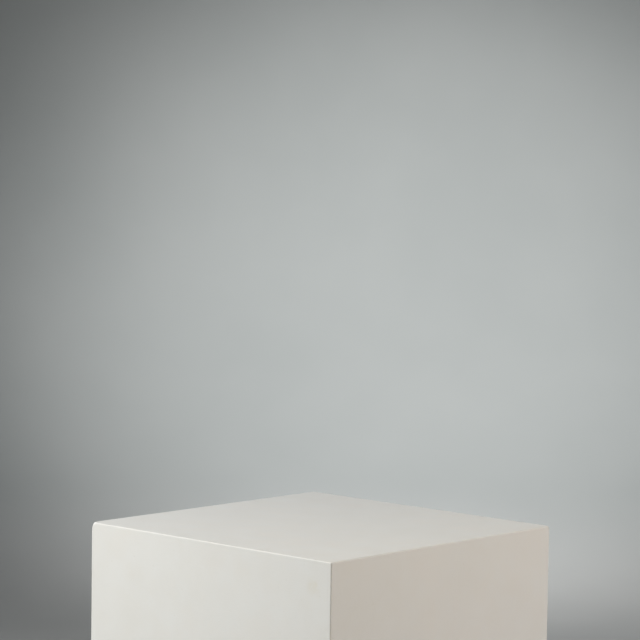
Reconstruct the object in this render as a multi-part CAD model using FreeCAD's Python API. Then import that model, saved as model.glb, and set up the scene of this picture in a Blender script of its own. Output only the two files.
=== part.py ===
"""Display plinth: a hollow square column that stands on the floor and carries a sculpture.

The outside is five boards of MDF, mitred and biscuited together so that no board edge shows.
Inside are four softwood posts, a ring of rails and two bearers under the top, a braced middle and
a ring of rails at the foot.  The underside is open.  A plywood plate under each post holds a tee
nut, and a levelling foot screws into it, so the shell stands a finger's width off the floor.

Frame: millimetres, +Z up, the origin on the floor at the middle of the plinth, front towards -Y.
The front side and the front left corner are modelled, and quarter turns about Z make the others.
"""

import FreeCAD
import Part

import math
import os

from FreeCAD import Placement, Rotation, Vector

# ---- Driving dimensions ----
SIDE = 500.0                # outside width and depth
HEIGHT = 1000.0             # floor to top face
SHADOW_GAP = 12.0           # floor to the lower edge of the shell
BOARD = 18.0                # MDF of the shell
ARRIS = 2.0                 # radius sanded on the top and upright edges
FOOT_ARRIS = 1.0            # radius sanded on the lower edge

POST = 44.0                 # square softwood post
RAIL_THICK = 20.0           # softwood rail, flat against the shell
RAIL_DEEP = 44.0
BATTEN_ARRIS = 1.5          # planed softwood has its long edges eased
BEARER_OFFSET = 80.0        # middle of the plinth to the middle of a bearer

PLATE = 100.0               # plywood corner plate, square before its inner corner is cut off
PLATE_THICK = 18.0
PLATE_CLIP = 40.0
PLATE_BOTTOM = 24.0         # floor to the underside of a plate

BRACE_TOP = 512.0           # floor to the top of the brace
BRACE_THICK = 12.0
BRACE_HOLE_R = 100.0
BRACE_PLAY = 0.5            # gap between the brace and each post
CLEAT = 20.0                # square batten under the brace

BISCUIT = (56.0, 23.0, 4.0)             # length, width and thickness of a number 20 biscuit
SLOT = (62.0, 24.6, 4.0)
BISCUIT_END = 6.0                       # straight end of a biscuit
BISCUIT_INSET = 5.0                     # inner heel of the mitre to the biscuit
UPRIGHT_BISCUITS = (80.0, 248.0, 416.0, 584.0, 752.0, 920.0)
TOP_BISCUITS = (-150.0, 0.0, 150.0)

SCREW_R = 2.0
SCREW_HEAD_R = 4.0
SCREW_TIP = 5.0
RECESS = (4.6, 1.0, 1.6)                # length, width and depth of a cross recess
SHORT_SCREW = 30.0                      # rail to shell
BRACE_SCREW = 28.0
LONG_SCREW = 55.0                       # post or rail edge to shell
PLATE_SCREW = 50.0
BEARER_SCREW = 70.0

FOOT_CENTRE = 205.0         # middle of the plinth to a foot, along X and along Y
FOOT_TRAVEL = 12.0
THREAD_R = 5.0              # M10
THREAD_ROOT_R = 4.2
THREAD_PITCH = 1.5
THREAD_FLAT = 0.2
SPARE_THREAD = 15.0         # thread left above the nut with the foot wound right out
HEX_FLATS = 17.0
HEX_BOTTOM = 14.0
HEX_THICK = 8.0
PAD_R = 20.0
PAD_BOTTOM = 2.0
PAD_TOP = 13.0
PAD_SHOULDER = 7.0          # floor to where the pad starts to dome
PAD_NECK_R = 5.5
SOLE_R = 19.0
SOLE_THICK = 3.0
BUTTON_R = 8.0              # the captive end of the screw, inside the pad
BUTTON = (5.0, 8.0)
BUTTON_PLAY = 0.3
NECK_R = 4.7

NUT_BORE_R = 5.05           # 0.05 clear of the M10 screw
NUT_BARREL_R = 6.25
NUT_BARREL = 13.0
NUT_FLANGE_R = 13.0
NUT_FLANGE = 1.5
NUT_PRONG = (3.0, 1.2, 8.0)             # width, thickness and length
NUT_PRONG_R = 10.0
POST_BORE_R = 7.0           # room for the screw in the foot of a post
POST_BORE_SPARE = 18.0      # and above its tip

# ---- Worked out from them ----
HALF = SIDE / 2
INNER = HALF - BOARD                    # middle of the plinth to the inside of a board
UNDER_TOP = HEIGHT - BOARD
POST_FACE = INNER - POST                # middle of the plinth to the inner face of a post
RAIL_FACE = INNER - RAIL_THICK
RAIL_LENGTH = 2 * POST_FACE
PLATE_TOP = PLATE_BOTTOM + PLATE_THICK
PLATE_EDGE = INNER - PLATE
BRACE_BOTTOM = BRACE_TOP - BRACE_THICK
CLEAT_BOTTOM = BRACE_BOTTOM - CLEAT
TOP_RAIL_BOTTOM = UNDER_TOP - RAIL_DEEP
THREAD_TOP = PLATE_BOTTOM + NUT_BARREL + FOOT_TRAVEL + SPARE_THREAD
POST_BORE = THREAD_TOP + POST_BORE_SPARE - PLATE_TOP

# ---- Where the screws go: along X on the front side unless another way is said ----
POST_SCREW_HEIGHTS = (150.0, 380.0, 620.0, 850.0)
POST_SCREW_STAGGER = 40.0               # the rows into the two boards are this far apart, to miss
TOP_RAIL_SIDE_SCREWS = (-150.0, 0.0, 150.0)
TOP_RAIL_UP_SCREWS = (-122.0, 122.0)
BEARER_END_SCREW_RISES = (12.0, 32.0)   # above the underside of the bearer
BEARER_UP_SCREW = 100.0                 # along Y, each way
BASE_RAIL_SCREWS = (-120.0, 0.0, 120.0)
PLATE_SCREW_BY_POST = (FOOT_CENTRE + 19.0, FOOT_CENTRE - 13.0)
PLATE_SCREW_ON_RAIL = (INNER - RAIL_THICK / 2, 150.0)
CLEAT_SCREWS = (-130.0, 0.0, 130.0)
BRACE_SCREWS = (-100.0, 100.0)

SIDES = ("front", "right", "back", "left")      # in quarter turns about Z
CORNERS = {"fl": (-1, -1), "fr": (1, -1), "br": (1, 1), "bl": (-1, 1)}


# ---- Helpers ----
def turned(shape, quarters):
    """The shape after that many quarter turns about Z."""
    copy = shape.copy()
    copy.rotate(Vector(0, 0, 0), Vector(0, 0, 1), 90 * quarters)
    return copy


def block(low, high):
    """A box between two corners."""
    size = Vector(*high) - Vector(*low)
    return Part.makeBox(size.x, size.y, size.z, Vector(*low))


def prism(outline, along):
    """A closed outline of points, extruded along a vector."""
    points = [Vector(*p) for p in outline]
    return Part.Face(Part.makePolygon(points + points[:1])).extrude(Vector(*along))


def edges_along(shape, direction):
    """The straight edges of a shape that run along a direction."""
    axis = Vector(*direction)
    found = []
    for edge in shape.Edges:
        run = edge.Vertexes[-1].Point - edge.Vertexes[0].Point
        if run.Length > 1e-6 and abs(run.normalize() * axis) > 0.999:
            found.append(edge)
    return found


def batten(low, high):
    """A planed softwood batten, its edges eased along its longest side."""
    shape = block(low, high)
    sizes = [b - a for a, b in zip(low, high)]
    along = [1 if s == max(sizes) else 0 for s in sizes]
    return shape.makeFillet(BATTEN_ARRIS, edges_along(shape, along))


def lathe(profile):
    """A solid turned about Z from (radius, height) points that start and end on the axis."""
    points = [Vector(r, 0, z) for r, z in profile]
    face = Part.Face(Part.makePolygon(points + points[:1]))
    return face.revolve(Vector(0, 0, 0), Vector(0, 0, 1), 360)


def moved(shape, x, y, z):
    """A copy of the shape, shifted."""
    copy = shape.copy()
    copy.translate(Vector(x, y, z))
    return copy


def at_corner(shape, corner):
    """A copy of a foot's piece, on the foot's axis at one of the four corners."""
    return moved(shape, corner[0] * FOOT_CENTRE, corner[1] * FOOT_CENTRE, 0)


def cut_near(shape, tools):
    """The shape less each tool whose box meets its own."""
    near = [t for t in tools if shape.BoundBox.intersect(t.BoundBox)]
    return shape.cut(near) if near else shape


# ---- Shell ----
def shell_block():
    """The outside of the shell as one solid, with its arrises eased."""
    shape = block((-HALF, -HALF, SHADOW_GAP), (HALF, HALF, HEIGHT))
    upper = [e for e in shape.Edges if e.BoundBox.ZMax > HEIGHT - 1e-6]
    shape = shape.makeFillet(ARRIS, upper)
    lower = [e for e in shape.Edges if e.BoundBox.ZMax < SHADOW_GAP + 1e-6]
    return shape.makeFillet(FOOT_ARRIS, lower)


def front_board(outside):
    """The front board: mitred up both sides and along its top."""
    plan = [(-HALF, -HALF, 0), (HALF, -HALF, 0), (INNER, -INNER, 0), (-INNER, -INNER, 0)]
    section = [
        (-HALF, -HALF, 0),
        (-HALF, -INNER, 0),
        (-HALF, -INNER, UNDER_TOP),
        (-HALF, -HALF, HEIGHT),
    ]
    return outside.common(prism(plan, (0, 0, HEIGHT))).common(prism(section, (SIDE, 0, 0)))


def top_board(outside):
    """The top board, mitred along all four edges."""
    section = [
        (-HALF, -HALF, HEIGHT),
        (HALF, -HALF, HEIGHT),
        (INNER, -HALF, UNDER_TOP),
        (-INNER, -HALF, UNDER_TOP),
    ]
    across = prism(section, (0, SIDE, 0))
    return outside.common(across).common(turned(across, 1))


# ---- Biscuits ----
def biscuit(length, width, thickness):
    """A lens of pressed beech about the origin: length along X, width along Y."""
    x, y, end = length / 2, width / 2, BISCUIT_END / 2
    outline = Part.Wire([
        Part.Arc(Vector(-x, -end, 0), Vector(0, -y, 0), Vector(x, -end, 0)).toShape(),
        Part.makeLine(Vector(x, -end, 0), Vector(x, end, 0)),
        Part.Arc(Vector(x, end, 0), Vector(0, y, 0), Vector(-x, end, 0)).toShape(),
        Part.makeLine(Vector(-x, end, 0), Vector(-x, -end, 0)),
    ])
    return moved(Part.Face(outline).extrude(Vector(0, 0, thickness)), 0, 0, -thickness / 2)


def upright_mitre(size):
    """Biscuits, or their slots, up the mitre at the front left corner."""
    stand = Rotation(Vector(0, 0, 1), 45) * Rotation(Vector(0, 1, 0), -90)
    heel = -INNER - BISCUIT_INSET
    made = []
    for height in UPRIGHT_BISCUITS:
        shape = biscuit(*size)
        shape.Placement = Placement(Vector(heel, heel, height), stand)
        made.append(shape)
    return made


def top_mitre(size):
    """Biscuits, or their slots, along the mitre between the front board and the top."""
    lean = Rotation(Vector(1, 0, 0), 45)
    made = []
    for x in TOP_BISCUITS:
        shape = biscuit(*size)
        centre = Vector(x, -INNER - BISCUIT_INSET, UNDER_TOP + BISCUIT_INSET)
        shape.Placement = Placement(centre, lean)
        made.append(shape)
    return made


# ---- Screws ----
def screw_body(length):
    """A countersunk wood screw, its head's face at the origin and its point down."""
    cone = SCREW_HEAD_R - SCREW_R
    return lathe([
        (0, 0),
        (SCREW_HEAD_R, 0),
        (SCREW_R, -cone),
        (SCREW_R, SCREW_TIP - length),
        (0, -length),
    ])


def recess():
    """The cross cut in a screw's head."""
    long, wide, deep = RECESS
    bar = block((-long / 2, -wide / 2, -deep), (long / 2, wide / 2, 1))
    return bar.fuse(turned(bar, 1))


class Fixings:
    """A set of screws: the solids, and the holes that they need."""

    def __init__(self):
        self.screws = []
        self.holes = []

    def drive(self, length, head, direction, quarters=(0, 1, 2, 3)):
        """Puts a screw at a point on the front side, and its copies at the other turns."""
        turn = Rotation(Vector(0, 0, -1), Vector(*direction))
        body = screw_body(length)
        screw = body.cut(recess())
        for shape, kept in ((screw, self.screws), (body, self.holes)):
            shape.Placement = Placement(Vector(*head), turn)
            kept.extend(turned(shape, q) for q in quarters)


def post_screws():
    """Each post to the two boards that it stands against, the two rows staggered to miss."""
    made = Fixings()
    for height in POST_SCREW_HEIGHTS:
        for middle in (-POST_FACE - POST / 2, POST_FACE + POST / 2):
            made.drive(LONG_SCREW, (middle, -POST_FACE, height), (0, -1, 0), quarters=(0, 2))
            sideways = (-POST_FACE, middle, height + POST_SCREW_STAGGER)
            made.drive(LONG_SCREW, sideways, (-1, 0, 0), quarters=(0, 2))
    return made


def top_frame_screws():
    """The top rails to the sides and to the top, and the bearers to the rails and the top."""
    made = Fixings()
    rail_middle = -(RAIL_FACE + RAIL_THICK / 2)
    for x in TOP_RAIL_SIDE_SCREWS:
        made.drive(SHORT_SCREW, (x, -RAIL_FACE, TOP_RAIL_BOTTOM + RAIL_DEEP / 2), (0, -1, 0))
    for x in TOP_RAIL_UP_SCREWS:
        made.drive(LONG_SCREW, (x, rail_middle, TOP_RAIL_BOTTOM), (0, 0, 1))
    for x in (-BEARER_OFFSET, BEARER_OFFSET):
        for rise in BEARER_END_SCREW_RISES:
            head = (x, -INNER, TOP_RAIL_BOTTOM + rise)
            made.drive(BEARER_SCREW, head, (0, 1, 0), quarters=(0, 2))
        made.drive(LONG_SCREW, (x, -BEARER_UP_SCREW, TOP_RAIL_BOTTOM), (0, 0, 1), quarters=(0, 2))
    return made


def base_rail_screws():
    """The base rails to the sides."""
    made = Fixings()
    for x in BASE_RAIL_SCREWS:
        made.drive(SHORT_SCREW, (x, -RAIL_FACE, PLATE_TOP + RAIL_DEEP / 2), (0, -1, 0))
    return made


def plate_screws():
    """Each corner plate up into its post and the two base rails."""
    made = Fixings()
    for a, b in (PLATE_SCREW_BY_POST, PLATE_SCREW_ON_RAIL):
        made.drive(PLATE_SCREW, (-a, -b, PLATE_BOTTOM), (0, 0, 1))
        made.drive(PLATE_SCREW, (-b, -a, PLATE_BOTTOM), (0, 0, 1))
    return made


def brace_screws():
    """The cleats to the sides, and the brace down into the cleats."""
    made = Fixings()
    for x in CLEAT_SCREWS:
        head = (x, -(INNER - CLEAT), CLEAT_BOTTOM + CLEAT / 2)
        made.drive(SHORT_SCREW, head, (0, -1, 0))
    for x in BRACE_SCREWS:
        made.drive(BRACE_SCREW, (x, -(INNER - CLEAT / 2), BRACE_TOP), (0, 0, -1))
    return made


# ---- Frame ----
def post():
    """The front left post, bored up from its foot to clear the levelling screw."""
    stick = batten((-INNER, -INNER, PLATE_TOP), (-POST_FACE, -POST_FACE, UNDER_TOP))
    foot = Vector(-FOOT_CENTRE, -FOOT_CENTRE, PLATE_TOP)
    return stick.cut(Part.makeCylinder(POST_BORE_R, POST_BORE, foot))


def front_rail(bottom, thick, deep):
    """A rail or cleat between the two front posts, against the front board."""
    half = RAIL_LENGTH / 2
    return batten((-half, -INNER, bottom), (half, -INNER + thick, bottom + deep))


def bearer(x):
    """One of the two bearers that carry the middle of the top, from front rail to back rail."""
    half = POST / 2
    return batten((x - half, -RAIL_FACE, TOP_RAIL_BOTTOM), (x + half, RAIL_FACE, UNDER_TOP))


def brace():
    """A board across the middle, notched round the posts, with a hole to reach the top through."""
    board = block((-INNER, -INNER, BRACE_BOTTOM), (INNER, INNER, BRACE_TOP))
    corner = POST_FACE - BRACE_PLAY
    notch = block((-INNER, -INNER, BRACE_BOTTOM), (-corner, -corner, BRACE_TOP))
    hole = Part.makeCylinder(BRACE_HOLE_R, BRACE_THICK, Vector(0, 0, BRACE_BOTTOM))
    return board.cut([hole] + [turned(notch, q) for q in range(4)])


def corner_plate():
    """The front left plate, bored for its tee nut."""
    low, high = -INNER, -PLATE_EDGE
    outline = [
        (low, low, PLATE_BOTTOM),
        (high, low, PLATE_BOTTOM),
        (high, high - PLATE_CLIP, PLATE_BOTTOM),
        (high - PLATE_CLIP, high, PLATE_BOTTOM),
        (low, high, PLATE_BOTTOM),
    ]
    plate = prism(outline, (0, 0, PLATE_THICK))
    hole = Vector(-FOOT_CENTRE, -FOOT_CENTRE, PLATE_BOTTOM)
    prongs = at_corner(tee_nut(), CORNERS["fl"])
    return plate.cut([Part.makeCylinder(NUT_BARREL_R, PLATE_THICK, hole), prongs])


def tee_nut():
    """A pronged M10 tee nut, pushed up into the plate with its flange below."""
    flange = lathe([
        (0, -NUT_FLANGE),
        (NUT_FLANGE_R, -NUT_FLANGE),
        (NUT_FLANGE_R, 0),
        (NUT_BARREL_R, 0),
        (NUT_BARREL_R, NUT_BARREL),
        (0, NUT_BARREL),
    ])
    wide, thick, long = NUT_PRONG
    prong = prism(
        [(NUT_PRONG_R, -wide / 2, 0), (NUT_PRONG_R, wide / 2, 0), (NUT_PRONG_R, 0, long)],
        (thick, 0, 0),
    )
    solid = flange.fuse([turned(prong, q) for q in range(4)])
    bore = Part.makeCylinder(NUT_BORE_R, 2 * NUT_BARREL, Vector(0, 0, -NUT_BARREL / 2))
    return moved(solid.cut(bore), 0, 0, PLATE_BOTTOM)


# ---- Levelling foot, about its own axis ----
def foot_sole():
    """The rubber disc under the pad, its lower edge chamfered."""
    ease = 0.6
    return lathe([
        (0, 0),
        (SOLE_R - ease, 0),
        (SOLE_R, ease),
        (SOLE_R, SOLE_THICK),
        (0, SOLE_THICK),
    ])


def foot_pad():
    """The nylon pad: a domed disc with a socket that holds the button of the screw."""
    dome_r = 13.0
    cavity_r = BUTTON_R + BUTTON_PLAY
    floor, ceiling = BUTTON[0] - BUTTON_PLAY, BUTTON[1] + BUTTON_PLAY
    return lathe([
        (0, SOLE_THICK),
        (SOLE_R, SOLE_THICK),
        (SOLE_R, PAD_BOTTOM),
        (PAD_R, PAD_BOTTOM),
        (PAD_R, PAD_SHOULDER),
        (dome_r, PAD_TOP),
        (PAD_NECK_R, PAD_TOP),
        (PAD_NECK_R, ceiling),
        (cavity_r, ceiling),
        (cavity_r, floor),
        (0, floor),
    ])


def foot_screw():
    """The M10 levelling screw: captive button, hexagon for a spanner, and thread."""
    hex_top = HEX_BOTTOM + HEX_THICK
    profile = [
        (0, BUTTON[0]),
        (BUTTON_R, BUTTON[0]),
        (BUTTON_R, BUTTON[1]),
        (NECK_R, BUTTON[1]),
        (NECK_R, hex_top),
    ]
    flank = (THREAD_PITCH - 2 * THREAD_FLAT) / 2
    z = hex_top
    while z + THREAD_PITCH < THREAD_TOP - 1:
        profile += [
            (THREAD_R, z + flank),
            (THREAD_R, z + flank + THREAD_FLAT),
            (THREAD_ROOT_R, z + 2 * flank + THREAD_FLAT),
            (THREAD_ROOT_R, z + THREAD_PITCH),
        ]
        z += THREAD_PITCH
    profile += [(THREAD_ROOT_R, THREAD_TOP - 1), (THREAD_ROOT_R - 1, THREAD_TOP), (0, THREAD_TOP)]
    points = HEX_FLATS / 2 / math.cos(math.radians(30))
    corners = [
        (points * math.cos(math.radians(a)), points * math.sin(math.radians(a)), HEX_BOTTOM)
        for a in range(0, 360, 60)
    ]
    ease = 0.8
    washer_face = lathe([
        (0, HEX_BOTTOM),
        (HEX_FLATS / 2, HEX_BOTTOM),
        (points, HEX_BOTTOM + ease),
        (points, hex_top - ease),
        (HEX_FLATS / 2, hex_top),
        (0, hex_top),
    ])
    nut = prism(corners, (0, 0, HEX_THICK)).common(washer_face)
    return lathe(profile).fuse(nut)


# ---- Assembly ----
def build():
    """Every piece by name."""
    fixings = {
        "post_screws": post_screws(),
        "top_frame_screws": top_frame_screws(),
        "base_rail_screws": base_rail_screws(),
        "plate_screws": plate_screws(),
        "brace_screws": brace_screws(),
    }
    holes = [hole for made in fixings.values() for hole in made.holes]
    slots = [turned(s, q) for s in upright_mitre(SLOT) + top_mitre(SLOT) for q in range(4)]
    parts = {}

    outside = shell_block()
    front = front_board(outside)
    parts["top_panel"] = top_board(outside)
    for q, side in enumerate(SIDES):
        parts[f"{side}_panel"] = turned(front, q)
        parts[f"top_rail_{side}"] = turned(front_rail(TOP_RAIL_BOTTOM, RAIL_THICK, RAIL_DEEP), q)
        parts[f"base_rail_{side}"] = turned(front_rail(PLATE_TOP, RAIL_THICK, RAIL_DEEP), q)
        parts[f"mid_cleat_{side}"] = turned(front_rail(CLEAT_BOTTOM, CLEAT, CLEAT), q)
    for q, corner in enumerate(CORNERS):
        parts[f"corner_post_{corner}"] = turned(post(), q)
        parts[f"corner_plate_{corner}"] = turned(corner_plate(), q)
    parts["top_bearer_left"] = bearer(-BEARER_OFFSET)
    parts["top_bearer_right"] = bearer(BEARER_OFFSET)
    parts["mid_brace"] = brace()

    for name in parts:
        parts[name] = cut_near(parts[name], holes + slots)

    for corner, where in CORNERS.items():
        parts[f"tee_nut_{corner}"] = at_corner(tee_nut(), where)
        parts[f"foot_sole_{corner}"] = at_corner(foot_sole(), where)
        parts[f"foot_pad_{corner}"] = at_corner(foot_pad(), where)
        parts[f"foot_screw_{corner}"] = at_corner(foot_screw(), where)
    for name, made in fixings.items():
        parts[name] = Part.makeCompound(made.screws)
    for name, mitre in (("upright_biscuits", upright_mitre), ("top_biscuits", top_mitre)):
        parts[name] = Part.makeCompound([turned(b, q) for b in mitre(BISCUIT) for q in range(4)])
    return parts


def export(parts):
    """One STEP file per piece, each closed solid by solid."""
    os.makedirs("parts", exist_ok=True)
    for name, shape in sorted(parts.items()):
        solids = shape.Solids
        if not shape.isValid() or not solids:
            raise ValueError(f"{name} isn't a valid solid")
        whole = solids[0] if len(solids) == 1 else Part.makeCompound(solids)
        whole.exportStep(f"parts/{name}.step")
        print(f"{name}: {len(solids)} solid(s), {sum(s.Volume for s in solids) / 1000:.1f} cm3")
    print(f"{len(parts)} nodes")


export(build())
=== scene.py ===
import math

import bpy
import numpy as np
from mathutils import Matrix, Vector, noise


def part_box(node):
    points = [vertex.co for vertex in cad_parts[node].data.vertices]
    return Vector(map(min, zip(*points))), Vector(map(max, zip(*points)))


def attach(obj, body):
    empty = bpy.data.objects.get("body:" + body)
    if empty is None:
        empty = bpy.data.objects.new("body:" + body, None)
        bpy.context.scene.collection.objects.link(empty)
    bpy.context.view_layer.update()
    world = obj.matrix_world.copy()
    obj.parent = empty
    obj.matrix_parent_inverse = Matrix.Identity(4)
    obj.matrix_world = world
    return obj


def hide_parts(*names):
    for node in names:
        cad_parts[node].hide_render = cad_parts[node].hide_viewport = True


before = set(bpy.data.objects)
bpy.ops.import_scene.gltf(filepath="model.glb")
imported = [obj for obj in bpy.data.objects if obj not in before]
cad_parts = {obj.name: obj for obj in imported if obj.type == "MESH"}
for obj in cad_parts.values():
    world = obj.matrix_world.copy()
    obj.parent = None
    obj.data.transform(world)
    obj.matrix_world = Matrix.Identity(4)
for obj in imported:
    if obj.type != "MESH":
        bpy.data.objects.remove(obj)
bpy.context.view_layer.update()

# ---- Places read from the frame ----
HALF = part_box("right_panel")[1].x               # middle of the plinth to the outside of a board
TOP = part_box("top_panel")[1].z
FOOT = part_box("front_panel")[0].z               # lower edge of the shell
CLEAR = 0.00001                                 # a board stops this short of a screw head that lies flush
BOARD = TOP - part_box("top_panel")[0].z - CLEAR
INNER = HALF - BOARD
SIDES = ("front", "right", "back", "left")      # in quarter turns about Z
CORNERS = ("fl", "fr", "br", "bl")
UPRIGHT_FIXINGS = (
    "upright_biscuits",
    "top_biscuits",
    "post_screws",
    "top_frame_screws",
    "base_rail_screws",
    "brace_screws",
)
TOP_FIXINGS = ("top_biscuits", "top_frame_screws")

# ---- The shell's skin ----
TOP_ARRIS = 0.0022          # radius sanded on the top edges
UPRIGHT_ARRIS = 0.0017
FOOT_ARRIS = 0.001
ARRIS_CHANGE = 0.012        # height over which one radius becomes the next
ARRIS_WANDER = 0.12         # share by which a hand-sanded radius comes and goes
ARRIS_WAVES = (9.0, 55.0)   # slow and quick waves a metre in that radius
BOW = 0.0003                # how far a board is out of flat
BOW_WAVES = 4.0             # waves a metre
BOW_INWARD = 0.6            # share by which the bow leans inwards, to keep the boards in the CAD box
BOW_MARGIN = 0.04           # width of the flatter margin along a board's edges
EDGE_REACH = 0.014          # how far in from an edge the mesh is drawn fine
EDGE_LINES = 20
EDGE_CROWDING = 1.8
SPACING = 0.008             # mesh spacing away from the edges

# Knocked places on the arrises: the place, how far the knock reaches and how much rounder it is.
WORN_CORNER = (-HALF, -HALF, TOP)
KNOCKS = (
    (WORN_CORNER, 0.0075, 0.0038),
    ((HALF, HALF, TOP), 0.0050, 0.0020),
    ((HALF, HALF, FOOT), 0.011, 0.0035),
    ((HALF, -HALF, FOOT), 0.007, 0.0022),
    ((-HALF, HALF, FOOT), 0.008, 0.0026),
    ((-HALF, -HALF, FOOT), 0.006, 0.0020),
    ((HALF, -HALF, 0.212), 0.0060, 0.0022),
    ((-HALF, HALF, 0.548), 0.0048, 0.0018),
    ((HALF, HALF, 0.734), 0.0050, 0.0016),
    ((0.117, HALF, TOP), 0.0055, 0.0018),
    ((-0.083, -HALF, FOOT), 0.0065, 0.0022),
    ((HALF, 0.138, FOOT), 0.0050, 0.0020),
)
KNOCK_LINES = 6             # fine mesh lines drawn each side of a knock
KNOCK_FINE = 2.0            # how far they go, in reaches of the knock
KNOCK_CLEAR = 2.2           # how near the coarser lines come, in reaches
KNOCK_END = 3.0             # where a knock has faded out, in reaches
KNOCK_WAVES = 420.0         # waves a metre in a knock's surface
KNOCK_ROUGH = 0.25          # share by which they change it

# ---- The levelling feet: radii, and heights above the floor ----
COLUMNS = 48                # mesh columns round a turned piece; the hexagon needs a multiple of six
EASE_STEPS = 4              # mesh steps round an eased edge
HEXAGON = (0.014, 0.022)    # bottom and top of the spanner hexagon
HEX_WASHER_R = 0.0083       # flat ring inside the chamfer of the hexagon's corners
HEX_EASE = 0.0008
THREAD_R = 0.005            # M10
THREAD_ROOT_R = 0.0042
THREAD_PITCH = 0.0015
THREAD_FLAT = 0.0002
THREAD_LEAD = 0.0001        # plain shank below the first thread
THREAD_FADE = 16            # mesh columns over which the thread runs out at each end
TIP = 0.001                 # chamfer at the top of the screw
NECK_R = 0.0047
BUTTON_R = 0.008            # captive end of the screw, inside the pad
BUTTON_TOP = 0.008
PAD_SHOULDER = 0.007        # where the pad's side becomes its dome
PAD_DOME_R = 0.013
PAD_NECK_R = 0.0055
PAD_CAVITY = (0.0083, 0.0047, 0.0083)       # radius, floor and ceiling round the button
PAD_RIM_EASE = 0.0003       # an ease is how far from a corner its rounding starts
PAD_DOME_EASE = 0.0016
PAD_NECK_EASE = 0.0004
SOLE_EASE = 0.0006
GROOVES = (0.0055, 0.0095, 0.0135)          # middles of the rings moulded under a sole
GROOVE_WIDE = 0.0012
GROOVE_DEEP = 0.0005


# ---- Helpers for meshes ----
CREASE = math.radians(35)


def mesh_object(name, points, faces):
    """A mesh object, smooth but for its creases."""
    mesh = bpy.data.meshes.new(name)
    mesh.from_pydata([tuple(p) for p in points], [], [tuple(f) for f in faces])
    mesh.validate()
    mesh.polygons.foreach_set("use_smooth", [True] * len(mesh.polygons))
    mesh.set_sharp_from_angle(angle=CREASE)
    obj = bpy.data.objects.new(name, mesh)
    bpy.context.scene.collection.objects.link(obj)
    return obj


def graded(low, high, knocks):
    """Positions from low to high, crowded near both ends and round each knock between."""
    near = EDGE_REACH * (np.arange(EDGE_LINES + 1) / EDGE_LINES) ** EDGE_CROWDING
    steps = max(2, round((high - low - 2 * EDGE_REACH) / SPACING))
    lines = list(np.linspace(low + EDGE_REACH, high - EDGE_REACH, steps + 1)[1:-1])
    for middle, reach in knocks:
        start, end = middle - KNOCK_FINE * reach, middle + KNOCK_FINE * reach
        if low + EDGE_REACH < start and end < high - EDGE_REACH:
            lines = [line for line in lines if abs(line - middle) > KNOCK_CLEAR * reach]
            lines += list(np.linspace(start, end, 2 * KNOCK_LINES + 1))
    return np.concatenate([low + near, sorted(lines), high - near[::-1]])


def wander(point, scale, seed):
    """Smooth noise in -1 to 1 at a place, at that many waves a metre. The seed picks a part of the noise."""
    return noise.noise(Vector(point) * scale + Vector((seed, 2.3 * seed, 0.7 * seed)))


def eased(share):
    """A share held between 0 and 1, with a soft start and end."""
    held = min(1.0, max(0.0, share))
    return held * held * (3 - 2 * held)


def circle(radius, height, columns=COLUMNS):
    """A ring of points round the axis."""
    turns = [2 * math.pi * k / columns for k in range(columns)]
    return [(radius * math.cos(t), radius * math.sin(t), height) for t in turns]


def join_rings(points, faces, rings):
    """Adds rings of points, each joined to the one before it in the list. Says where they start."""
    first, columns = len(points), len(rings[0])
    for ring in rings:
        points += ring
    for k in range(len(rings) - 1):
        low = first + k * columns
        for c in range(columns):
            d = (c + 1) % columns
            faces.append((low + c, low + d, low + columns + d, low + columns + c))
    return first


# ---- Shell ----
def radius_at(point):
    """The arris radius at a place on the sharp box: hand sanded, and rounder where it was knocked."""
    radius = FOOT_ARRIS + (UPRIGHT_ARRIS - FOOT_ARRIS) * eased((point[2] - FOOT) / ARRIS_CHANGE)
    radius += (TOP_ARRIS - UPRIGHT_ARRIS) * eased(1 - (TOP - point[2]) / ARRIS_CHANGE)
    slow, quick = ARRIS_WAVES
    radius *= 1 + ARRIS_WANDER * (wander(point, slow, 1.0) + 0.5 * wander(point, quick, 2.0))
    for place, reach, extra in KNOCKS:
        away = math.dist(point, place) / reach
        if away < KNOCK_END:
            rough = 1 + KNOCK_ROUGH * wander(point, KNOCK_WAVES, 3.0)
            radius += extra * math.exp(-away * away) * rough
    return radius


def skin(point):
    """Where a place on the sharp box comes to on the real, eased and slightly bowed shell."""
    radius = radius_at(point)
    low = (-HALF + radius, -HALF + radius, FOOT + radius)
    high = (HALF - radius, HALF - radius, TOP - radius)
    core = Vector(min(max(p, a), b) for p, a, b in zip(point, low, high))
    outward = (Vector(point) - core).normalized()
    away = [HALF - abs(point[0]), HALF - abs(point[1]), min(point[2] - FOOT, TOP - point[2])]
    inland = sorted(away)[1]
    swell = BOW * (wander(point, BOW_WAVES, 5.0) - BOW_INWARD) * min(1.0, inland / BOW_MARGIN) ** 2
    return core + outward * (radius + swell)


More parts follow.
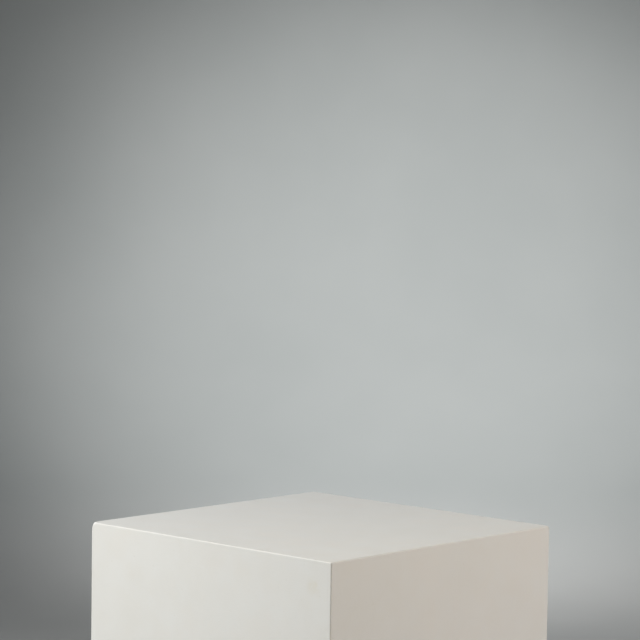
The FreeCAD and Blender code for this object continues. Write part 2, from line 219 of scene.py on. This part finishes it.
def board(name, across, up, place):
    """A mitred board: a skin outside, a flat face inside and one face along each side.

    place turns (across, up, 0 or 1) into a point, where 0 is outside and 1 is inside."""
    columns, rows = len(across), len(up)
    points = [skin(place(a, u, 0)) for u in up for a in across]
    faces = []
    for r in range(rows - 1):
        for c in range(columns - 1):
            corner = r * columns + c
            faces.append((corner, corner + 1, corner + columns + 1, corner + columns))
    skins = len(faces)

    inner = len(points)
    ends = ((across[0], up[0]), (across[-1], up[0]), (across[-1], up[-1]), (across[0], up[-1]))
    points += [place(a, u, 1) for a, u in ends]
    rims = (
        list(range(columns)),
        [r * columns + columns - 1 for r in range(rows)],
        [(rows - 1) * columns + c for c in range(columns - 1, -1, -1)],
        [r * columns for r in range(rows - 1, -1, -1)],
    )
    for side, rim in enumerate(rims):
        faces.append((inner + side, inner + (side + 1) % 4, *rim[::-1]))
    faces.append((inner + 3, inner + 2, inner + 1, inner))
    obj = mesh_object(name, points, faces)
    obj.data.materials.append(PAINT)
    obj.data.materials.append(RAW_BOARD)
    obj.data.polygons.foreach_set("material_index", [0] * skins + [1] * (len(faces) - skins))
    return obj


def cut_for(obj, nodes):
    """Takes out of a board the slots and holes that its biscuits and screws sit in."""
    for node in nodes:
        cut = obj.modifiers.new(node, "BOOLEAN")
        cut.operation = "DIFFERENCE"
        cut.solver = "EXACT"
        cut.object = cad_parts[node]
    seen = obj.evaluated_get(bpy.context.evaluated_depsgraph_get())
    mesh = bpy.data.meshes.new_from_object(seen)
    obj.modifiers.clear()
    obj.data = mesh
    mesh.set_sharp_from_angle(angle=CREASE)


def fix_board(obj, node, fixings):
    """Cuts a board for its fixings and lets it stand for its CAD panel."""
    cut_for(obj, fixings)
    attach(obj, "plinth")
    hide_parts(node)


def shell():
    """The five boards."""
    wide = [(coordinate, reach) for place, reach, _ in KNOCKS for coordinate in place[:2]]
    wide += [(-middle, reach) for middle, reach in wide]
    across = graded(-HALF, HALF, sorted(set(wide)))
    up = graded(FOOT, TOP, [(place[2], reach) for place, reach, _ in KNOCKS])
    shrink = INNER / HALF
    shorten = (TOP - BOARD - FOOT) / (TOP - FOOT)
    for quarter, side in enumerate(SIDES):
        turn = Matrix.Rotation(quarter * math.pi / 2, 3, "Z")

        def upright(a, u, inside, turn=turn):
            if inside:
                return turn @ Vector((a * shrink, -INNER, FOOT + (u - FOOT) * shorten))
            return turn @ Vector((a, -HALF, u))

        panel = board(f"{side}_board", across, up, upright)
        fix_board(panel, f"{side}_panel", UPRIGHT_FIXINGS)

    def flat(a, u, inside):
        if inside:
            return Vector((a * shrink, u * shrink, TOP - BOARD))
        return Vector((a, u, TOP))

    fix_board(board("top_board", across, across, flat), "top_panel", TOP_FIXINGS)


# ---- Levelling feet ----
def eased_outline(outline):
    """An outline of (radius, height, ease) corners, each one rounded by its ease, as rings."""
    rings = []
    for k, (radius, height, ease) in enumerate(outline):
        corner = Vector((radius, height))
        if not ease:
            rings.append(circle(*corner))
            continue
        before, after = Vector(outline[k - 1][:2]), Vector(outline[k + 1][:2])
        start = corner + (before - corner).normalized() * ease
        end = corner + (after - corner).normalized() * ease
        for step in range(EASE_STEPS + 1):
            share = step / EASE_STEPS
            rings.append(circle(*start.lerp(corner, share).lerp(corner.lerp(end, share), share)))
    return rings


def turned_piece(name, outline):
    """A solid turned from an outline that starts and ends on its flat ends."""
    points, faces = [], []
    join_rings(points, faces, eased_outline(outline))
    faces.append(tuple(range(COLUMNS))[::-1])
    faces.append(tuple(range(len(points) - COLUMNS, len(points))))
    return mesh_object(name, points, faces)


def hexagon_rings():
    """The spanner hexagon, its corners chamfered above and below."""
    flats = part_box("foot_screw_fl")[1].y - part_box("foot_screw_fl")[0].y
    corner_r = flats / 2 / math.cos(math.pi / 6)
    low, high = [], []
    for k in range(COLUMNS):
        turn = 2 * math.pi * k / COLUMNS
        radius = flats / 2 / math.cos(turn % (math.pi / 3) - math.pi / 6)
        drop = HEX_EASE * (radius - HEX_WASHER_R) / (corner_r - HEX_WASHER_R)
        across = (radius * math.cos(turn), radius * math.sin(turn))
        low.append((*across, HEXAGON[0] + drop))
        high.append((*across, HEXAGON[1] - drop))
    return [circle(HEX_WASHER_R, HEXAGON[0]), low, high, circle(HEX_WASHER_R, HEXAGON[1])]


def levelling_screw(name):
    """Captive button, neck, hexagon and a real right-hand M10 thread, in one closed mesh."""
    bottom, top = (corner.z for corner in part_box("foot_screw_fl"))
    points, faces = [], []
    rings = eased_outline((
        (BUTTON_R, bottom, 0),
        (BUTTON_R, BUTTON_TOP, 0),
        (NECK_R, BUTTON_TOP, 0),
        (NECK_R, HEXAGON[0], 0),
    ))
    rings += hexagon_rings() + [circle(THREAD_ROOT_R, HEXAGON[1])]
    join_rings(points, faces, rings)
    faces.append(tuple(range(COLUMNS))[::-1])
    # The shank between the ring below and the ring above stays open for the thread.
    below = len(points) - COLUMNS
    above = join_rings(points, faces, [circle(THREAD_ROOT_R, top - TIP), circle(THREAD_ROOT_R - TIP, top)])
    faces.append(tuple(range(above + COLUMNS, above + 2 * COLUMNS)))
    wind_thread(points, faces, below, above, HEXAGON[1] + THREAD_LEAD, top - TIP - THREAD_LEAD)
    return mesh_object(name, points, faces)


def wind_thread(points, faces, below, above, low, high):
    """A thread wound from one ring of points up to another, between two heights.

    Each step round adds the four corners of the thread's profile. The first corner of the next turn
    is the fifth."""
    last = COLUMNS * (math.floor((high - low) / THREAD_PITCH) - 1)
    flank = (THREAD_PITCH - 2 * THREAD_FLAT) / 2
    profile = ((0, 0), (flank, 1), (flank + THREAD_FLAT, 1), (2 * flank + THREAD_FLAT, 0))
    index = {}
    for step in range(last + COLUMNS + 1):
        turn = 2 * math.pi * step / COLUMNS
        crest = (THREAD_R - THREAD_ROOT_R) * eased(min(step, last - step) / THREAD_FADE)
        for corner, (rise, share) in enumerate(profile if step <= last else profile[:1]):
            radius = THREAD_ROOT_R + crest * share
            height = low + THREAD_PITCH * step / COLUMNS + rise
            index[step, corner] = len(points)
            points.append((radius * math.cos(turn), radius * math.sin(turn), height))
        index[step - COLUMNS, 4] = index[step, 0]

    for step in range(last):
        for k in range(4):
            faces.append((index[step, k], index[step + 1, k], index[step + 1, k + 1], index[step, k + 1]))
    # The seams close the steps where the first turn starts and the last one ends.
    lower_seam = [index[0, k] for k in range(4)]
    upper_seam = [index[last, k] for k in (4, 3, 2, 1)]
    for c in range(COLUMNS):
        d = (c + 1) % COLUMNS
        seam = lower_seam if d == 0 else []
        faces.append((below + c, below + d, *seam, index[c + 1, 0], index[c, 0]))
        seam = upper_seam if c == 0 else []
        faces.append((index[last + c, 0], index[last + c + 1, 0], above + d, above + c, *seam))


def foot_radius(node):
    """Half the width of a round node."""
    low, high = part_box(node)
    return (high.x - low.x) / 2


def pad_outline():
    """From the recess for the sole, over the dome, to the cavity round the screw's button."""
    bottom, top = (corner.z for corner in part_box("foot_pad_fl"))
    pad_r, sole_r = foot_radius("foot_pad_fl"), foot_radius("foot_sole_fl")
    cavity_r, floor, ceiling = PAD_CAVITY
    return (
        (sole_r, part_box("foot_sole_fl")[1].z, 0),
        (sole_r, bottom, 0),
        (pad_r, bottom, PAD_RIM_EASE),
        (pad_r, PAD_SHOULDER, PAD_DOME_EASE),
        (PAD_DOME_R, top, PAD_DOME_EASE),
        (PAD_NECK_R, top, PAD_NECK_EASE),
        (PAD_NECK_R, ceiling, 0),
        (cavity_r, ceiling, 0),
        (cavity_r, floor, 0),
    )


def sole_outline():
    """A disc with rings moulded into its underside."""
    outline = [(GROOVES[0] / 2, 0, 0)]
    for middle in GROOVES:
        inner, outer = middle - GROOVE_WIDE / 2, middle + GROOVE_WIDE / 2
        outline += [(inner, 0, 0), (inner, GROOVE_DEEP, 0), (outer, GROOVE_DEEP, 0), (outer, 0, 0)]
    radius = foot_radius("foot_sole_fl")
    return outline + [(radius, 0, SOLE_EASE), (radius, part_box("foot_sole_fl")[1].z, 0)]


def levelling_feet():
    """Screw, pad and sole at each corner, each standing for its CAD piece."""
    pad, sole = pad_outline(), sole_outline()
    for corner in CORNERS:
        low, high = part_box(f"foot_screw_{corner}")
        axis = Matrix.Translation(((low.x + high.x) / 2, (low.y + high.y) / 2, 0))
        pieces = (
            (levelling_screw(f"levelling_screw_{corner}"), "foot_screw", "foot_screw", "zinc_steel", ZINC),
            (turned_piece(f"levelling_pad_{corner}", pad), "foot_pad", "foot_pad", "black_nylon", NYLON),
            (turned_piece(f"levelling_sole_{corner}", sole), "foot_sole", "foot_pad", "rubber_sole", RUBBER),
        )
        for piece, node, body, slot, material in pieces:
            piece.data.transform(axis)
            piece.data.materials.append(material)
            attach(piece, f"{body}_{corner}")
            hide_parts(f"{node}_{corner}")


# ---- Helpers for materials ----
class Nodes:
    """A material's node tree, with a short way to add and join nodes."""

    def __init__(self, name):
        self.material = bpy.data.materials.new(name)
        self.material.use_nodes = True
        self.tree = self.material.node_tree
        self.shader = self.tree.nodes["Principled BSDF"]
        self.place = self.add("ShaderNodeTexCoord").outputs["Object"]

    def add(self, kind, inputs=None, **settings):
        """A node with its settings made and its inputs set or joined."""
        node = self.tree.nodes.new(kind)
        for key, value in settings.items():
            setattr(node, key, value)
        for key, value in (inputs or {}).items():
            self.feed(node.inputs[key], value)
        return node

    def feed(self, socket, value):
        """Joins an output to a socket, or sets its value."""
        if isinstance(value, bpy.types.NodeSocket):
            self.tree.links.new(value, socket)
        else:
            socket.default_value = value

    def math(self, operation, *values):
        """One sum on up to three values."""
        node = self.add("ShaderNodeMath", operation=operation)
        for socket, value in zip(node.inputs, values):
            self.feed(socket, value)
        return node.outputs[0]

    def spread(self, value, low, high, to_low=0.0, to_high=1.0, smooth=False):
        """A value carried from one range to another, and held at its ends."""
        kind = "SMOOTHSTEP" if smooth else "LINEAR"
        inputs = {"Value": value, "From Min": low, "From Max": high, "To Min": to_low, "To Max": to_high}
        return self.add("ShaderNodeMapRange", inputs, interpolation_type=kind).outputs["Result"]

    def stretch(self, scale, turn=(0, 0, 0)):
        """The place, scaled and turned."""
        inputs = {"Vector": self.place, "Scale": scale, "Rotation": turn}
        return self.add("ShaderNodeMapping", inputs).outputs["Vector"]

    def noise(self, scale, detail=4.0, roughness=0.55, vector=None, distortion=0.0):
        """Cloudy noise about 0.5, at the place unless another vector is given."""
        inputs = {
            "Vector": vector or self.place,
            "Scale": scale,
            "Detail": detail,
            "Roughness": roughness,
            "Distortion": distortion,
        }
        return self.add("ShaderNodeTexNoise", inputs).outputs["Fac"]

    def blend(self, share, first, second, kind="MIX"):
        """Two colours mixed by a share."""
        node = self.add("ShaderNodeMix", data_type="RGBA", blend_type=kind)
        self.feed(node.inputs["Factor"], share)
        self.feed(node.inputs["A"], (*first, 1) if isinstance(first, tuple) else first)
        self.feed(node.inputs["B"], (*second, 1) if isinstance(second, tuple) else second)
        return node.outputs["Result"]

    def bump(self, height, distance, below=None):
        """A normal bumped by a height, on top of the one below."""
        inputs = {"Height": height, "Distance": distance, "Strength": 1.0}
        if below is not None:
            inputs["Normal"] = below
        return self.add("ShaderNodeBump", inputs).outputs["Normal"]

    def finish(self, colour, roughness, normal=None, **uniform):
        """Joins up the shader and returns the material. Uniform values go on the shader's own sockets."""
        self.feed(self.shader.inputs["Base Color"], colour)
        self.feed(self.shader.inputs["Roughness"], roughness)
        if normal is not None:
            self.feed(self.shader.inputs["Normal"], normal)
        for name, value in uniform.items():
            self.shader.inputs[name.replace("_", " ")].default_value = value
        return self.material


# ---- Materials ----
# Colours are linear. Noise scales are in features a metre, and the depths of bumps in metres.
CHIPS_TOP = 0.16                # how far above the shell's lower edge its edges are chipped
DUST_TOP = 0.11                 # and it is dusty
SCUFFS = (0.05, 0.30)           # where scuffs start to thin out, and where they end
SMEAR = (0.217, -HALF, 0.9615)  # middle of the faint yellow smear on the front
SMEAR_R = 0.019
FLECKS_R = 0.0085               # reach of the flecks round the worn corner
PAINT_LIP = 0.0003              # height of the lower edge's face that the paint can reach
VENEER = 0.0015                 # one layer of the plywood


def paint():
    """Matt off-white paint, rolled over filled and sanded board: faint laps and stipple, wear and marks."""
    n = Nodes("matt_white_paint")
    x, y, z = n.add("ShaderNodeSeparateXYZ", {"Vector": n.place}).outputs
    from_x = n.math("SUBTRACT", HALF, n.math("ABSOLUTE", x))
    from_y = n.math("SUBTRACT", HALF, n.math("ABSOLUTE", y))
    from_z = n.math("MINIMUM", n.math("SUBTRACT", z, FOOT), n.math("SUBTRACT", TOP, z))
    # The way in from the nearest edge is the middle one of the three distances from the box's faces.
    nearer = n.math("MINIMUM", from_x, from_y)
    farther = n.math("MAXIMUM", from_x, from_y)
    inland = n.math("MAXIMUM", nearer, n.math("MINIMUM", farther, from_z))

    tone, cloudy = paint_tone(n)
    tone, bare, rubbed = paint_wear(n, tone, inland, z)
    tone = paint_marks(n, tone, z)

    stipple = n.noise(520.0, 2.5, 0.5)
    roughness = n.spread(cloudy, 0.3, 0.7, 0.48, 0.60)
    roughness = n.math("SUBTRACT", roughness, n.math("MULTIPLY", rubbed, 0.14))
    roughness = n.math("ADD", roughness, n.math("MULTIPLY", bare, 0.25))
    normal = n.bump(stipple, 0.00014)
    normal = n.bump(n.noise(95.0, 3.0), 0.00016, normal)
    normal = n.bump(n.math("SUBTRACT", 1.0, bare), 0.00035, normal)
    return n.finish(tone, roughness, normal, Specular_IOR_Level=0.42)


def paint_tone(n):
    """The paint's own colour, never quite even, with upright laps from the roller."""
    broad = n.noise(5.0, 3.0)
    cloudy = n.noise(26.0, 5.0)
    laps = n.noise(1.0, 3.0, 0.5, n.stretch((15.0, 15.0, 1.1)))
    tone = n.blend(n.spread(broad, 0.35, 0.65), (0.800, 0.795, 0.762), (0.824, 0.806, 0.768))
    tone = n.blend(n.spread(cloudy, 0.3, 0.7), tone, (0.815, 0.815, 0.792))
    tone = n.blend(n.spread(laps, 0.35, 0.65, 0.0, 0.22), tone, (0.775, 0.773, 0.745))
    specks = n.spread(n.noise(210.0, 2.0, 0.6), 0.70, 0.76, 0.0, 0.35)
    return n.blend(specks, tone, (0.70, 0.68, 0.63)), cloudy


def paint_wear(n, tone, inland, z):
    """Handled edges, and bare board where the edges near the floor have lost their paint."""
    low_down = n.spread(z, FOOT, FOOT + CHIPS_TOP, 1.0, 0.0, smooth=True)
    by_edge = n.spread(inland, 0.0005, 0.0075, 1.0, 0.0, smooth=True)
    rubbed = n.math("MULTIPLY", by_edge, n.spread(n.noise(38.0, 5.0, 0.6), 0.42, 0.66))
    tone = n.blend(n.math("MULTIPLY", rubbed, 0.08), tone, (0.56, 0.53, 0.47))

    bite = n.spread(n.noise(150.0, 4.0, 0.6), 0.55, 0.60)
    at_edge = n.spread(inland, 0.0016, 0.0030, 1.0, 0.0)
    chipping = n.spread(n.noise(11.0, 2.0), 0.50, 0.60)
    bare = n.math("MULTIPLY", n.math("MULTIPLY", bite, at_edge), n.math("MULTIPLY", chipping, low_down))
    tone = n.blend(bare, tone, (0.44, 0.315, 0.205))
    return tone, bare, rubbed


def paint_marks(n, tone, z):
    """Dust and scuffs near the floor, a yellow smear by the near edge, flecks on the worn corner."""
    low_down = n.spread(z, FOOT, FOOT + DUST_TOP, 1.0, 0.0, smooth=True)
    dust = n.math("MULTIPLY", low_down, n.spread(n.noise(34.0, 6.0, 0.65), 0.38, 0.75))
    tone = n.blend(n.math("MULTIPLY", dust, 0.30), tone, (0.47, 0.44, 0.39))

    kick_height = n.spread(z, FOOT + SCUFFS[0], FOOT + SCUFFS[1], 1.0, 0.0, smooth=True)
    level = n.spread(n.noise(1.0, 4.0, 0.6, n.stretch((9.0, 9.0, 130.0), (0.09, 0.07, 0))), 0.64, 0.70)
    slant = n.spread(n.noise(1.0, 3.0, 0.6, n.stretch((16.0, 16.0, 75.0), (-0.45, 0.38, 0))), 0.68, 0.76)
    broad = n.noise(1.0, 4.0, 0.6, n.stretch((10.0, 10.0, 32.0), (0.2, -0.15, 0)))
    smudge = n.spread(broad, 0.62, 0.80, 0.0, 0.35)
    streaks = n.math("MAXIMUM", n.math("MAXIMUM", level, slant), smudge)
    places = n.spread(n.noise(7.0, 2.0), 0.54, 0.62)
    scuffs = n.math("MULTIPLY", n.math("MULTIPLY", streaks, places), kick_height)
    tone = n.blend(n.math("MULTIPLY", scuffs, 0.42), tone, (0.20, 0.19, 0.18))

    smear = n.math("MULTIPLY", spot(n, SMEAR, SMEAR_R), n.spread(n.noise(60.0), 0.38, 0.60))
    tone = n.blend(n.math("MULTIPLY", smear, 0.40), tone, (0.74, 0.68, 0.53))

    knock = spot(n, WORN_CORNER, FLECKS_R)
    flecks = n.math("MULTIPLY", knock, n.spread(n.noise(420.0, 2.0), 0.50, 0.58))
    return n.blend(flecks, tone, (0.93, 0.93, 0.92))


def spot(n, centre, reach):
    """1 at a place, fading to 0 at that reach from it."""
    away = n.add("ShaderNodeVectorMath", {0: n.place, 1: centre}, operation="DISTANCE").outputs["Value"]
    return n.spread(away, 0.0, reach, 1.0, 0.0, smooth=True)


def raw_board():
    """Bare medium-density fibreboard, brown and faintly flecked, with paint curled under its lower edge."""
    n = Nodes("raw_fibreboard")
    flecks = n.noise(900.0, 3.0, 0.7)
    cloudy = n.noise(14.0, 4.0)
    tone = n.blend(n.spread(cloudy, 0.3, 0.7), (0.36, 0.235, 0.140), (0.42, 0.285, 0.175))
    tone = n.blend(n.spread(flecks, 0.55, 0.72, 0.0, 0.6), tone, (0.26, 0.155, 0.085))

    x, y, z = n.add("ShaderNodeSeparateXYZ", {"Vector": n.place}).outputs
    reach = n.math("SUBTRACT", HALF, n.math("MAXIMUM", n.math("ABSOLUTE", x), n.math("ABSOLUTE", y)))
    ragged = n.spread(n.noise(70.0, 4.0, 0.6), 0.3, 0.7, 0.0002, 0.0058)
    lip = n.math("LESS_THAN", n.math("SUBTRACT", reach, ragged), 0.0)
    lip = n.math("MULTIPLY", lip, n.math("LESS_THAN", z, FOOT + PAINT_LIP))
    tone = n.blend(lip, tone, (0.79, 0.78, 0.745))
    normal = n.bump(lip, 0.00012, n.bump(flecks, 0.00008))
    return n.finish(tone, n.spread(lip, 0.0, 1.0, 0.85, 0.55), normal, Specular_IOR_Level=0.25)


def softwood(axis):
    """Planed pine with its grain along an axis, and a few knots that the grain runs round."""
    n = Nodes("planed_pine_" + axis.lower())

    def grain(along, across):
        return n.stretch([along if letter == axis else across for letter in "XYZ"])

    cells = {"Vector": grain(8.0, 14.0), "Scale": 1.0, "Randomness": 1.0}
    near_knot = n.add("ShaderNodeTexVoronoi", cells).outputs["Distance"]
    swerve = n.spread(near_knot, 0.0, 0.42, 0.16, 0.0, smooth=True)
    wavy = n.math("ADD", n.noise(1.0, 2.0, 0.5, grain(1.4, 30.0)), swerve)
    rings = n.math("FRACT", n.math("MULTIPLY", wavy, 13.0))
    late = n.spread(rings, 0.55, 0.97, smooth=True)
    fibre = n.noise(1.0, 3.0, 0.6, grain(6.0, 420.0))
    tone = n.blend(late, (0.66, 0.46, 0.255), (0.47, 0.27, 0.115))
    tone = n.blend(n.spread(fibre, 0.35, 0.75, 0.0, 0.45), tone, (0.56, 0.37, 0.19))
    tone = n.blend(n.spread(near_knot, 0.10, 0.22, 0.55, 0.0, smooth=True), tone, (0.36, 0.19, 0.08))
    tone = n.blend(n.spread(near_knot, 0.085, 0.11, 0.85, 0.0), tone, (0.20, 0.085, 0.035))
    normal = n.bump(n.math("ADD", n.math("MULTIPLY", late, 0.5), fibre), 0.00012)
    return n.finish(tone, n.spread(fibre, 0.3, 0.7, 0.52, 0.68), normal, Specular_IOR_Level=0.35)


def birch_ply():
    """Birch plywood lying flat: pale rotary-cut faces, and layers along every edge."""
    n = Nodes("birch_plywood")
    z = n.add("ShaderNodeSeparateXYZ", {"Vector": n.place}).outputs["Z"]
    layer = n.math("PINGPONG", n.math("SUBTRACT", z, FOOT), VENEER)
    crossed = n.spread(layer, 0.0006, 0.0009)
    normal = n.add("ShaderNodeNewGeometry").outputs["Normal"]
    facing = n.add("ShaderNodeSeparateXYZ", {"Vector": normal}).outputs["Z"]
    edge = n.spread(n.math("ABSOLUTE", facing), 0.3, 0.7, 1.0, 0.0)
    figure = n.noise(1.0, 4.0, 0.55, n.stretch((3.0, 42.0, 3.0)), 1.2)
    pores = n.noise(1.0, 3.0, 0.6, n.stretch((30.0, 700.0, 30.0)))
    face = n.blend(n.spread(figure, 0.35, 0.68), (0.70, 0.545, 0.365), (0.60, 0.44, 0.275))
    face = n.blend(n.spread(pores, 0.5, 0.8, 0.0, 0.4), face, (0.52, 0.37, 0.22))
    side = n.blend(crossed, (0.66, 0.50, 0.32), (0.36, 0.235, 0.125))
    tone = n.blend(edge, face, side)
    return n.finish(tone, n.spread(pores, 0.3, 0.7, 0.48, 0.62), n.bump(pores, 0.00006))


def pressed_beech():
    """Biscuits: pressed beech, flecked across its face."""
    n = Nodes("pressed_beech")
    flecks = n.noise(1.0, 3.0, 0.6, n.stretch((260.0, 900.0, 260.0), (0.6, 0.6, 0.6)))
    tone = n.blend(n.spread(flecks, 0.35, 0.7), (0.60, 0.40, 0.235), (0.43, 0.26, 0.14))
    return n.finish(tone, 0.7, n.bump(flecks, 0.0001))


def zinc():
    """Bright zinc plate over turned steel, faintly straw coloured and scuffed."""
    n = Nodes("zinc_plated_steel")
    cloudy = n.noise(160.0, 4.0)
    turned = n.noise(1.0, 2.0, 0.5, n.stretch((250.0, 250.0, 4200.0)))
    tone = n.blend(n.spread(cloudy, 0.35, 0.7), (0.62, 0.63, 0.64), (0.66, 0.63, 0.55))
    roughness = n.spread(n.math("ADD", cloudy, turned), 0.7, 1.3, 0.24, 0.42)
    return n.finish(tone, roughness, n.bump(turned, 0.00002), Metallic=1.0)


def nylon():
    """Black moulded nylon with a fine spark-eroded grain and patches of dust."""
    n = Nodes("black_nylon")
    grain = n.noise(1500.0, 2.0)
    dust = n.spread(n.noise(110.0, 5.0, 0.65), 0.48, 0.78, 0.0, 0.22)
    tone = n.blend(dust, (0.018, 0.018, 0.019), (0.17, 0.16, 0.145))
    return n.finish(tone, n.spread(grain, 0.3, 0.7, 0.40, 0.55), n.bump(grain, 0.00004))


def rubber():
    """Dark grey rubber, matt, with a pale bloom."""
    n = Nodes("grey_rubber")
    bloom = n.spread(n.noise(140.0, 5.0), 0.4, 0.75, 0.0, 0.35)
    tone = n.blend(bloom, (0.035, 0.034, 0.033), (0.105, 0.10, 0.095))
    return n.finish(tone, 0.82, n.bump(n.noise(900.0, 2.0), 0.00006), Specular_IOR_Level=0.3)


PAINT = paint()
RAW_BOARD = raw_board()
ZINC = zinc()
NYLON = nylon()
RUBBER = rubber()


def dress(node, material):
    """A CAD node keeps its shape and takes a material."""
    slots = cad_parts[node].data.materials
    slots.clear()
    slots.append(material)


def dress_frame():
    """The pieces that show their CAD shape."""
    pine = {axis: softwood(axis) for axis in "XYZ"}
    ply, beech = birch_ply(), pressed_beech()
    for quarter, side in enumerate(SIDES):
        axis = "XY"[quarter % 2]
        for rail in ("top_rail", "base_rail", "mid_cleat"):
            dress(f"{rail}_{side}", pine[axis])
    for bearer in ("top_bearer_left", "top_bearer_right"):
        dress(bearer, pine["Y"])
    for corner in CORNERS:
        dress(f"corner_post_{corner}", pine["Z"])
        dress(f"corner_plate_{corner}", ply)
        dress(f"tee_nut_{corner}", ZINC)
    dress("mid_brace", ply)
    for biscuits in ("upright_biscuits", "top_biscuits"):
        dress(biscuits, beech)
    for screws in ("post", "top_frame", "base_rail", "plate", "brace"):
        dress(f"{screws}_screws", ZINC)


# ---- Stage ----
ROOM_R = 4.3                # middle of the room to the foot of the wall's sweep
SWEEP_R = 1.9
SWEEP_STEP = 6              # degrees
WALL_TOP = 5.0
DISC_R = 2.0                # the middle of the floor, in one face
ROOM_COLUMNS = 96
WALL_TONE_FROM = 0.34       # height at which the floor's tone has turned into the wall's


def room_paint():
    """A pale floor that turns into a cool grey wall with height."""
    n = Nodes("studio_room")
    z = n.add("ShaderNodeSeparateXYZ", {"Vector": n.place}).outputs["Z"]
    height = n.spread(z, 0.0, WALL_TONE_FROM, smooth=True)
    cloudy = n.spread(n.noise(1.3, 3.0), 0.3, 0.7)
    floor = n.blend(cloudy, (0.57, 0.578, 0.565), (0.61, 0.615, 0.60))
    wall = n.blend(cloudy, (0.402, 0.422, 0.415), (0.432, 0.450, 0.442))
    return n.finish(n.blend(height, floor, wall), 0.9, None, Specular_IOR_Level=0.2)


def stage():
    """A round room, its floor swept up into its wall."""
    material = room_paint()
    sweep = [math.radians(a) for a in range(0, 91, SWEEP_STEP)]
    profile = [(DISC_R, 0.0)]
    profile += [(ROOM_R + SWEEP_R * math.sin(a), SWEEP_R * (1 - math.cos(a))) for a in sweep]
    profile += [(ROOM_R + SWEEP_R, WALL_TOP)]
    points, faces = [], []
    join_rings(points, faces, [circle(radius, rise, ROOM_COLUMNS) for radius, rise in profile])
    faces.append(tuple(range(ROOM_COLUMNS)))
    room = mesh_object("studio_room", points, faces)
    room.data.materials.append(material)


# ---- Lights ----
# Name, place, size, watts, colour and target of each soft panel. They all light the plinth.
PANELS = (
    ("key", (-1.15, -2.0, 2.35), 1.0, 65.0, (1.0, 0.988, 0.957), (0, 0, 0.85)),
    ("near_side", (1.8, 0.15, 2.5), 1.0, 17.5, (1.0, 0.81, 0.50), (0, 0, 0.85)),
    ("far_side", (3.0, 2.4, 2.2), 1.5, 56.0, (0.93, 0.91, 1.0), (0, 0, 0.85)),
    ("overhead", (0.3, 0.3, 4.6), 3.0, 21.0, (0.40, 0.66, 1.0), (0, 0, 0.85)),
    ("left", (-3.9, 0.5, 1.5), 1.6, 26.0, (1.0, 0.99, 0.96), (0, 0, 0.45)),
)
AMBIENT = (0.004, 0.004, 0.004)

# Soft-edged lamps behind the plinth, for the pools of light on the wall and on the floor before it:
# name, place, target, watts and cone.
POOLS = (
    ("wall_pool", (-1.3, 1.4, 2.3), (-3.85, 4.72, 0.68), 680.0, math.radians(55)),
    ("floor_pool", (0.0, 1.8, 2.2), (-1.3, 3.5, 0.0), 140.0, math.radians(40)),
)
POOL_LAMP_R = 0.5


def aimed(data, place, target):
    """A light at a place, facing a target, and not seen itself."""
    lamp = bpy.data.objects.new(data.name, data)
    lamp.location = place
    lamp.rotation_euler = (Vector(target) - Vector(place)).to_track_quat("-Z", "Y").to_euler()
    lamp.visible_camera = False
    bpy.context.scene.collection.objects.link(lamp)


def lights():
    """Soft panels round the plinth, pools of light behind it, and next to no ambient light."""
    for name, place, size, watts, colour, target in PANELS:
        data = bpy.data.lights.new(name, "AREA")
        data.shape = "SQUARE"
        data.size = size
        data.energy = watts
        data.color = colour
        aimed(data, place, target)
    for name, place, target, watts, cone in POOLS:
        data = bpy.data.lights.new(name, "SPOT")
        data.energy = watts
        data.shadow_soft_size = POOL_LAMP_R
        data.spot_size = cone
        data.spot_blend = 1.0
        aimed(data, place, target)
    world = bpy.data.worlds.new("soft_room")
    world.use_nodes = True
    background = world.node_tree.nodes["Background"]
    background.inputs["Color"].default_value = (*AMBIENT, 1)
    background.inputs["Strength"].default_value = 1.0
    bpy.context.scene.world = world
    bpy.context.scene.view_settings.view_transform = "Standard"
    bpy.context.scene.view_settings.look = "None"


# ---- Camera ----
EYE_RISE = 0.6096           # the camera's height above the top of the plinth
EYE_BACK = 6.450 * EYE_RISE     # how far it stands back from the plinth's axis
EYE_ASIDE = -0.0114 * EYE_RISE
YAW = math.radians(42.72)   # turned from facing the front, towards the right-hand side
PITCH = math.radians(-4.28)
ROLL = math.radians(0.84)
SENSOR = 36                 # millimetres
LENS = 144.6


def camera():
    """The photograph's viewpoint: a long lens at a standing eye's height, a corner towards it."""
    right = Vector((math.cos(YAW), math.sin(YAW), 0))
    ahead = Vector((-math.sin(YAW), math.cos(YAW), 0))
    data = bpy.data.cameras.new("camera")
    data.lens = LENS
    data.sensor_width = SENSOR
    obj = bpy.data.objects.new("camera", data)
    level = Matrix((right, Vector((0, 0, 1)), -ahead)).transposed()
    turn = level @ Matrix.Rotation(PITCH, 3, "X") @ Matrix.Rotation(ROLL, 3, "Z")
    place = right * EYE_ASIDE - ahead * EYE_BACK + Vector((0, 0, TOP + EYE_RISE))
    obj.matrix_world = Matrix.LocRotScale(place, turn, None)
    bpy.context.scene.collection.objects.link(obj)
    bpy.context.scene.camera = obj


shell()
levelling_feet()
dress_frame()
stage()
lights()
camera()
